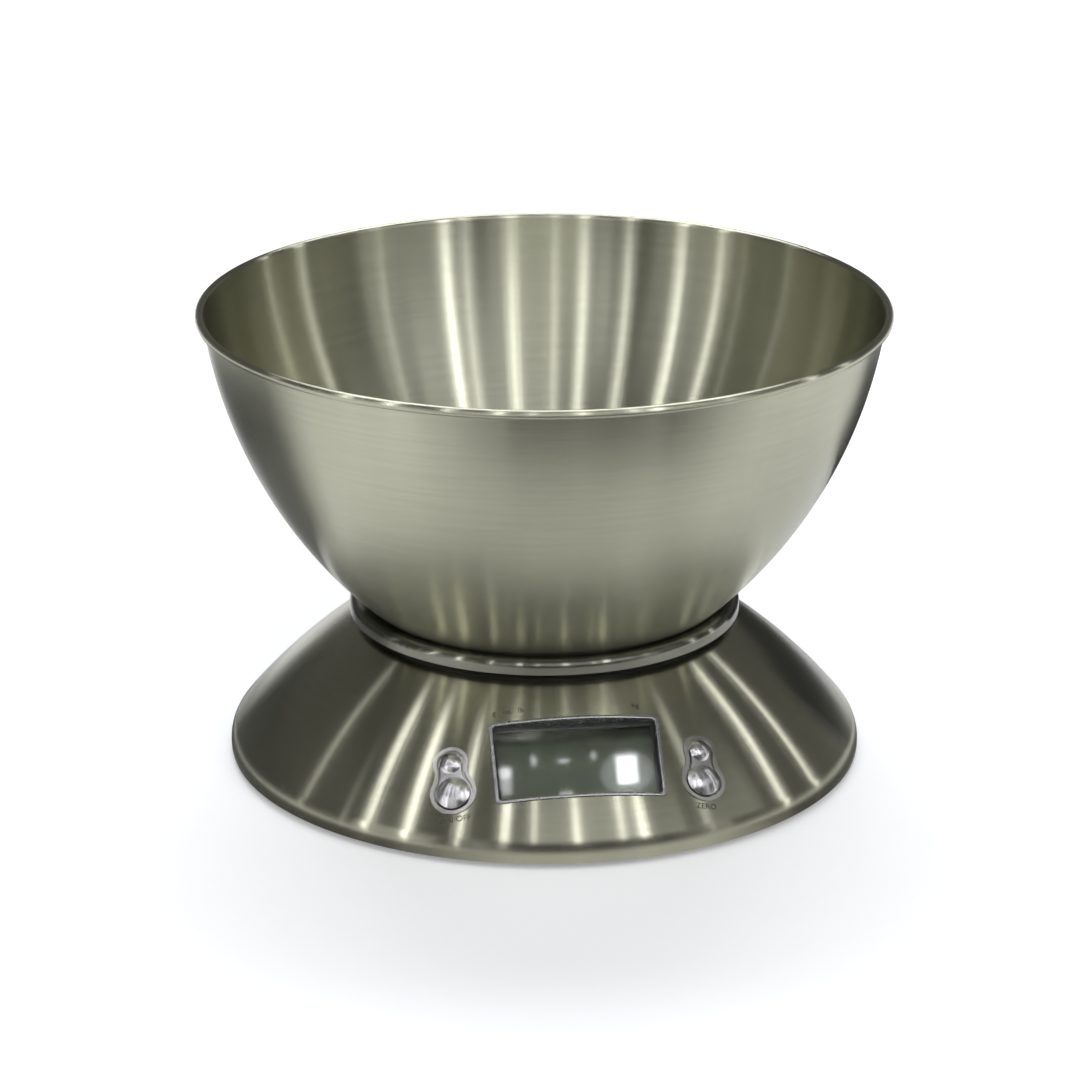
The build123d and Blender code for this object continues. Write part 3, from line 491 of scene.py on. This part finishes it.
def display_glass(name):
    """The unlit display behind the lens, darkened towards its upper edge by painted shade from the bezel."""
    glass = Material(name).set(Roughness=0.25, IOR=1.5)
    point, (_, _, z) = glass.place()
    low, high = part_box("lcd_panel")
    level = glass.add("ShaderNodeMapRange", {"From Min": low[2], "From Max": high[2]})
    glass.join(z, level.inputs["Value"])
    clouds = glass.math("SUBTRACT", glass.noise(point, GLASS_CLOUDS, FINE_DETAIL), 0.5)
    uneven = glass.math("MULTIPLY", clouds, GLASS_UNEVEN)
    # Painted shade: the glass darkens with height, for the bezel's shadow over its upper edge.
    ramp = glass.add("ShaderNodeValToRGB")
    fill_ramp(ramp, GLASS_STOPS_WITH_SHADE)
    glass.join(glass.math("ADD", level.outputs["Result"], uneven), ramp.inputs[0])
    glass.join(ramp.outputs[0], "Base Color")
    return glass.data


def build_finishes():
    """Every finish, by the record's material slot."""
    finishes = {"lens": clear_lens("lens"), "lcd_glass": display_glass("lcd_glass")}
    for make, looks in ((brushed_steel, STEELS), (polished, METALS), (moulded, PLASTICS)):
        for slot, look in looks.items():
            finishes[slot] = make(slot, *look)
    return finishes


def dress_nodes(finishes):
    """Gives each CAD node the finish of its slot."""
    for part in frame["record"]["subparts"]:
        for slot in nodes[part["node"]].material_slots:
            slot.material = finishes[part["material_slot"]]


def mesh_of(shape, name):
    """The mesh of a finished bmesh, which is freed."""
    mesh = bpy.data.meshes.new(name)
    shape.to_mesh(mesh)
    shape.free()
    return mesh


def add_object(name, mesh, finish):
    """An object with a mesh in one finish, linked to the scene."""
    mesh.materials.clear()
    mesh.materials.append(finish)
    added = bpy.data.objects.new(name, mesh)
    scene.collection.objects.link(added)
    return added


@cache
def panel_middle():
    """The middle of the display's cover, its outward direction and its upward one."""
    low, high = (Vector(corner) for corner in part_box("display_lens"))
    middle = (low + high) / 2.0
    reach = math.hypot(middle.x, middle.y)
    lean = math.atan2(middle.z - DOME_MIDDLE[1] * MM, reach - DOME_MIDDLE[0] * MM)
    outward = Vector((0.0, -math.cos(lean), math.sin(lean)))
    upward = Vector((0.0, math.sin(lean), math.cos(lean)))
    return middle, outward, upward


def on_dome(across, up, lift):
    """The point of the dome's steel under a place on the display's plane, raised off it by the lift."""
    middle, outward, upward = panel_middle()
    point = middle + Vector((across, 0.0, 0.0)) + up * upward
    for _ in range(DOME_STEPS):
        reach = math.hypot(point.x, point.y)
        aside = reach - DOME_MIDDLE[0] * MM
        above = point.z - DOME_MIDDLE[1] * MM
        gap = math.hypot(aside, above) - DOME_CURVE * MM
        point = point - gap * outward
    level = aside / math.hypot(aside, above)
    normal = Vector((point.x / reach * level, point.y / reach * level, above / math.hypot(aside, above)))
    return point + lift * normal


def arc(middle, radius, start, end, steps):
    """Points along an arc of a profile, both ends included."""
    turns = [start + (end - start) * step / steps for step in range(steps + 1)]
    return [(middle[0] + radius * math.cos(turn), middle[1] + radius * math.sin(turn)) for turn in turns]


def bearing(middle, point):
    """The angle of a profile point as seen from an arc's middle."""
    return math.atan2(point[1] - middle[1], point[0] - middle[0])


def meet(middle, radius, other, other_radius):
    """Where two arcs of a profile cross, on the lower side."""
    apart = math.dist(middle, other)
    along = (radius ** 2 - other_radius ** 2 + apart ** 2) / (2.0 * apart)
    aside = math.sqrt(radius ** 2 - along ** 2)
    turn = bearing(middle, other)
    return (
        middle[0] + along * math.cos(turn) + aside * math.sin(turn),
        middle[1] + along * math.sin(turn) - aside * math.cos(turn),
    )


def bowl_profile():
    """The bowl's section from the middle of its underside, up the wall, over the rim and down inside.
    Returns its points and the index of the crease under the rim."""
    round_height = BOWL_FOOT + FOOT_ROUND
    round_reach = math.sqrt((WALL_CURVE - FOOT_ROUND) ** 2 - (round_height - WALL_MIDDLE[1]) ** 2)
    round_middle = (WALL_MIDDLE[0] + round_reach, round_height)
    corner = bearing(WALL_MIDDLE, round_middle)
    crease = meet(WALL_MIDDLE, WALL_CURVE, RIM_MIDDLE, RIM_ROUND)
    inside = WALL_CURVE - BOWL_SHEET
    inner_end = bearing(WALL_MIDDLE, (RIM_MIDDLE[0] - RIM_ROUND, RIM_MIDDLE[1]))
    flat = [(round_middle[0] * step / FLAT_STEPS, BOWL_FOOT) for step in range(FLAT_STEPS)]
    outer = arc(round_middle, FOOT_ROUND, -QUARTER, corner, ROUND_STEPS)[:-1]
    outer += arc(WALL_MIDDLE, WALL_CURVE, corner, bearing(WALL_MIDDLE, crease), WALL_STEPS)
    rim = arc(RIM_MIDDLE, RIM_ROUND, bearing(RIM_MIDDLE, crease), math.pi, RIM_STEPS)[1:]
    inner = arc(WALL_MIDDLE, inside, inner_end, corner, WALL_STEPS)[1:]
    inner += arc(round_middle, FOOT_ROUND - BOWL_SHEET, corner, -QUARTER, ROUND_STEPS)[1:]
    floor = [(reach, BOWL_FOOT + BOWL_SHEET) for reach, _ in reversed(flat)]
    return flat + outer + rim + inner + floor, len(flat + outer) - 1


def build_bowl(steel):
    """The spun bowl, as one closed shell turned about the upright axis."""
    points, crease = bowl_profile()
    shape = bmesh.new()
    ends = [shape.verts.new((0.0, 0.0, height * MM)) for _, height in (points[0], points[-1])]
    turns = [FULL_TURN * step / BOWL_TURNS for step in range(BOWL_TURNS)]
    rings = []
    for reach, height in points[1:-1]:
        ring = [(reach * MM * math.cos(turn), reach * MM * math.sin(turn), height * MM) for turn in turns]
        rings.append([shape.verts.new(place) for place in ring])
    for step in range(BOWL_TURNS):
        after = (step + 1) % BOWL_TURNS
        shape.faces.new((ends[0], rings[0][after], rings[0][step]))
        shape.faces.new((ends[1], rings[-1][step], rings[-1][after]))
        for low, high in zip(rings, rings[1:]):
            shape.faces.new((low[step], low[after], high[after], high[step]))
    for face in shape.faces:
        face.smooth = True
    sharp = rings[crease - 1]
    for before, after in zip(sharp, sharp[1:] + sharp[:1]):
        shape.edges.get((before, after)).smooth = False
    bowl = add_object("bowl_shell", mesh_of(shape, "bowl_shell"), steel)
    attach(bowl, "bowl_body")
    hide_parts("bowl")


def cover_normal(point):
    """The outward direction of the base cover's turned profile at a point of its sheet."""
    reach = math.hypot(point.x, point.y)
    place = (reach / MM, point.z / MM)
    shoulder_reach = COVER_RADIUS - SHOULDER_ROUND
    shoulder_turn = math.acos((shoulder_reach - DOME_MIDDLE[0]) / (DOME_CURVE - SHOULDER_ROUND))
    shoulder = (shoulder_reach, DOME_MIDDLE[1] + (DOME_CURVE - SHOULDER_ROUND) * math.sin(shoulder_turn))
    top_height = COVER_TOP - TOP_ROUND
    top_turn = math.asin((top_height - DOME_MIDDLE[1]) / (DOME_CURVE - TOP_ROUND))
    top = (DOME_MIDDLE[0] + (DOME_CURVE - TOP_ROUND) * math.cos(top_turn), top_height)
    turn = bearing(DOME_MIDDLE, place)
    if turn < shoulder_turn:
        turn = max(0.0, bearing(shoulder, place))
    elif turn > top_turn:
        turn = min(QUARTER, bearing(top, place))
    level = math.cos(turn) / reach
    return Vector((point.x * level, point.y * level, math.sin(turn)))


def build_cover(steel):
    """The base's steel cover, shaded by its turned profile so that the streaks run clean over it."""
    mesh = nodes["base_cover"].data.copy()
    mesh.name = "cover_shell"
    mesh.shade_smooth()
    normals = []
    for face in mesh.polygons:
        for corner in face.loop_indices:
            turned = cover_normal(mesh.vertices[mesh.loops[corner].vertex_index].co)
            along = turned.dot(face.normal)
            normals.append(turned * math.copysign(1.0, along) if abs(along) > SAME_FACE else face.normal)
    mesh.normals_split_custom_set(normals)
    cover = add_object("cover_shell", mesh, steel)
    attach(cover, "base")
    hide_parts("base_cover")


def bezel_outline(inset):
    """The bezel's outline at a distance in from its outside: places across and up, in millimetres."""
    wide, tall = (half - inset - BEZEL_CORNER for half in BEZEL_HALF)
    bends = []
    for index, corner in enumerate(((wide, tall), (-wide, tall), (-wide, -tall), (wide, -tall))):
        bends.append(arc(corner, BEZEL_CORNER, index * QUARTER, (index + 1) * QUARTER, BEZEL_CORNER_STEPS))
    places = []
    for index, (bend, after) in enumerate(zip(bends, bends[1:] + bends[:1])):
        places += bend
        (x, y), (next_x, next_y) = bend[-1], after[0]
        count = BEZEL_SIDES[index % 2]
        for share in (step / count for step in range(1, count)):
            places.append((x + (next_x - x) * share, y + (next_y - y) * share))
    return places


def build_bezel():
    """The thin plated frame round the display, following the dome."""
    middle, outward, upward = panel_middle()
    foot = middle + LENS_HALF * MM * outward
    shape = bmesh.new()
    rings = []
    for inset, rise in BEZEL_SECTION:
        places = bezel_outline(inset)
        rings.append([shape.verts.new(on_dome(x * MM, y * MM, rise * MM)) for x, y in places])
    for inset, _ in (BEZEL_SECTION[-1], BEZEL_SECTION[0]):
        places = [foot + Vector((x * MM, 0.0, 0.0)) + y * MM * upward for x, y in bezel_outline(inset)]
        rings.append([shape.verts.new(place) for place in places])
    for before, after in zip(rings, rings[1:] + rings[:1]):
        for index in range(len(before)):
            follow = (index + 1) % len(before)
            shape.faces.new((before[index], before[follow], after[follow], after[index]))
    bmesh.ops.recalc_face_normals(shape, faces=shape.faces[:])
    mesh = mesh_of(shape, "bezel_frame")
    mesh.shade_smooth()
    mesh.set_sharp_from_angle(angle=BEZEL_SHARP)
    # Painted shade: the bezel gets a darkened copy of the chrome.
    bezel = add_object("bezel_frame", mesh, polished("bezel_shaded_chrome", *BEZEL_SHADED_CHROME))
    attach(bezel, "base")
    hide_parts("display_bezel")


def build_cell(finishes):
    """The load cell and its coating, cut across their middle stretch into slices."""
    bend = CELL_BEND * MM
    for name, node, slot in CELL_PIECES:
        shape = bmesh.new()
        shape.from_mesh(nodes[node].data)
        for cut in range(CELL_CUTS + 1):
            across = bend * (2.0 * cut / CELL_CUTS - 1.0)
            every = shape.verts[:] + shape.edges[:] + shape.faces[:]
            bmesh.ops.bisect_plane(shape, geom=every, plane_co=(across, 0.0, 0.0), plane_no=(1.0, 0.0, 0.0))
        piece = add_object(name, mesh_of(shape, name), finishes[slot])
        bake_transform(piece)
        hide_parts(node)


def build_signs():
    """The small dark signs printed round the display, laid on the curved steel."""
    ink = moulded("sign_ink", *SIGN_INK)
    for name, words, across, up, height in SIGNS:
        letters = bpy.data.curves.new(name, "FONT")
        letters.body = words
        letters.size = height * MM * LETTER_SIZE
        letters.align_x = "CENTER"
        letters.extrude = SIGN_THICKNESS * MM / 2.0
        letters.resolution_u = LETTER_CURVES
        source = bpy.data.objects.new(f"{name}_letters", letters)
        mesh = bpy.data.meshes.new_from_object(source)
        bpy.data.objects.remove(source)
        bpy.data.curves.remove(letters)
        mesh.name = name
        for vertex in mesh.vertices:
            x, y, z = vertex.co
            vertex.co = on_dome(across * MM + x, up * MM + y, z + SIGN_LIFT * MM)
        sign = add_object(name, mesh, ink)
        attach(sign, "base")


def floor_paint():
    """Matt white paint that glows a little where the camera, metal or glass sees it."""
    paint = Material("floor").set(Roughness=0.9, Specular_IOR_Level=0.0)
    paint.set(Base_Color=FLOOR_COLOUR, Emission_Color=FLOOR_COLOUR)
    ray = paint.add("ShaderNodeLightPath").outputs
    seen = paint.math("MAXIMUM", ray["Is Camera Ray"], ray["Is Glossy Ray"])
    seen = paint.math("MAXIMUM", seen, ray["Is Transmission Ray"])
    _, (x, y, _) = paint.place()
    near, far = GLOW_RISE
    ends = {"From Min": near, "From Max": far, "To Min": FLOOR_GLOW, "To Max": 1.0}
    rise = paint.add("ShaderNodeMapRange", ends)
    paint.join(paint.reach(x, y), rise.inputs["Value"])
    paint.join(paint.math("MULTIPLY", seen, rise.outputs["Result"]), "Emission Strength")
    return paint.data


def build_floor():
    """The pale floor the scale stands on."""
    shape = bmesh.new()
    bmesh.ops.create_circle(shape, cap_ends=True, segments=FLOOR_SIDES, radius=FLOOR_RADIUS)
    floor = add_object("floor", mesh_of(shape, "floor"), floor_paint())


def card_paint(name, grey):
    """Matt paint in one grey, clear where the card's cover value is nought."""
    paint = Material(name).set(Roughness=1.0, Specular_IOR_Level=0.0)
    point, _ = paint.place()
    dark, light = ((grey * tone,) * 3 for tone in CARD_TONES)
    paint.join(paint.tint(paint.noise(point, CARD_CLOUDS), dark, light), "Base Color")
    fade = paint.add("ShaderNodeAttribute", attribute_name="cover")
    paint.join(fade.outputs["Fac"], "Alpha")
    return paint.data


def build_cards():
    """Grey cards round the scale, as a photographer sets them to give the steel its dark edges."""
    for name, first, last, fade_turn, lower, upper, grey, share in CARDS:
        shape = bmesh.new()
        cover = shape.verts.layers.float.new("cover")
        pairs = []
        for step in range(CARD_STEPS + 1):
            degrees = first + (last - first) * step / CARD_STEPS
            turn = math.radians(degrees)
            pair = []
            for reach, height in (lower, upper):
                vertex = shape.verts.new((reach * math.sin(turn), -reach * math.cos(turn), height))
                vertex[cover] = share * min(1.0, min(degrees - first, last - degrees) / fade_turn)
                pair.append(vertex)
            pairs.append(pair)
        for before, after in zip(pairs, pairs[1:]):
            shape.faces.new((before[0], after[0], after[1], before[1]))
        card = add_object(name, mesh_of(shape, name), card_paint(name, grey))
        card.visible_camera = False
        card.visible_diffuse = False
        card.visible_transmission = False
        card.visible_shadow = False


def build_room():
    """The room's light: paler at the horizon, darker overhead."""
    world = bpy.data.worlds.new("room")
    world.use_nodes = True
    scene.world = world
    tree = world.node_tree
    where = tree.nodes.new("ShaderNodeTexCoord")
    split = tree.nodes.new("ShaderNodeSeparateXYZ")
    ramp = tree.nodes.new("ShaderNodeValToRGB")
    fill_ramp(ramp, ROOM_STOPS)
    tree.links.new(where.outputs["Generated"], split.inputs[0])
    tree.links.new(split.outputs["Z"], ramp.inputs[0])
    tree.links.new(ramp.outputs[0], tree.nodes["Background"].inputs["Color"])


def camera_place():
    """Where the camera stands."""
    across = CAMERA_REACH * math.sin(CAMERA_TURN)
    ahead = CAMERA_REACH * math.cos(CAMERA_TURN)
    return Vector((across, -ahead, CAMERA_HEIGHT))


def mirrored(view, facet):
    """The direction that a facet shows to a viewer, by the direction of the viewer and the facet's own."""
    return 2.0 * view.dot(facet) * facet - view


def streak_ray(turn, lean):
    """The direction that the steel mirrors to the camera, by its turn from the front and lean in degrees."""
    turn = math.radians(turn)
    lean = math.radians(lean)
    level = math.cos(lean)
    facet = Vector((math.sin(turn) * level, -math.cos(turn) * level, math.sin(lean)))
    return mirrored((camera_place() - LAMP_AIM).normalized(), facet)


def add_lamp(name, place, width, length, brightness, upward, outline="RECTANGLE"):
    """A flat lamp aimed at the object, its length lying along the upward direction."""
    light = bpy.data.lights.new(name, "AREA")
    light.shape = outline
    light.size = width
    light.size_y = length
    light.energy = brightness * math.pi * width * length
    light.color = LAMP_COLOUR
    lamp = bpy.data.objects.new(name, light)
    back = (place - LAMP_AIM).normalized()
    across = upward.cross(back).normalized()
    along = back.cross(across)
    lamp.matrix_world = Matrix((across, along, back)).transposed().to_4x4()
    lamp.location = place
    lamp.visible_camera = False
    scene.collection.objects.link(lamp)


def strip_spans(turn, high):
    """The two stretches of leans that a strip is made of, with the gap for the display's cover."""
    if abs(turn) < PANEL_TURN:
        return (STRIP_LOW, PANEL_LEANS[0]), (PANEL_LEANS[1], high)
    middle = (STRIP_LOW + high) / 2.0
    return (STRIP_LOW, middle), (middle, high)


def add_strip(name, turn, width, brightness, high):
    """A strip lamp in two lengths, whose reflection runs down the steel as a narrow streak."""
    across = STRIP_REACH * math.radians(width)
    for end, leans in zip(("low", "high"), strip_spans(turn, high)):
        lower, upper = (streak_ray(turn, lean) for lean in leans)
        upward = upper - lower
        place = LAMP_AIM + STRIP_REACH * streak_ray(turn, sum(leans) / 2.0)
        add_lamp(f"{name}_{end}", place, across, STRIP_REACH * upward.length, brightness, upward)


def add_glint(name, across, up, width, height, brightness, outline):
    """A small lamp where the display's cover mirrors it to the camera at the given place and size."""
    middle, outward, upward = panel_middle()
    point = middle + Vector((across * MM, 0.0, 0.0)) + up * MM * upward
    away = camera_place() - point
    view = away.normalized()
    growth = (away.length + GLINT_REACH) / away.length
    wide = width * MM * growth
    tall = height * MM * growth * view.dot(outward)
    add_lamp(name, point + GLINT_REACH * mirrored(view, outward), wide, tall, brightness, upward, outline)


def build_lamps():
    """The strips for the streaks, the large soft lamps, and the small ones for the display's glints."""
    for index, strip in enumerate(STRIPS):
        add_strip(f"strip_{index}", *strip)
    for name, place, width, length, brightness in SOFT_LAMPS:
        add_lamp(name, Vector(place), width, length, brightness, Vector((0.0, 0.0, 1.0)))
    for index, glint in enumerate(GLINTS):
        add_glint(f"glint_{index}", *glint)


def build_camera():
    """The camera at the photograph's place."""
    data = bpy.data.cameras.new("camera")
    data.lens = CAMERA_LENS
    data.sensor_width = CAMERA_SENSOR
    data.shift_x = CAMERA_SHIFT
    camera = bpy.data.objects.new("camera", data)
    camera.location = camera_place()
    level = math.cos(CAMERA_DIP)
    look = Vector((-math.sin(CAMERA_TURN) * level, math.cos(CAMERA_TURN) * level, -math.sin(CAMERA_DIP)))
    camera.rotation_euler = look.to_track_quat("-Z", "Y").to_euler()
    scene.collection.objects.link(camera)
    scene.camera = camera


scene.view_settings.view_transform = "Standard"
finishes = build_finishes()
dress_nodes(finishes)
build_bowl(finishes["bowl_steel"])
build_cover(finishes["cover_steel"])
build_bezel()
build_cell(finishes)
build_signs()
build_floor()
build_cards()
build_room()
build_lamps()
build_camera()
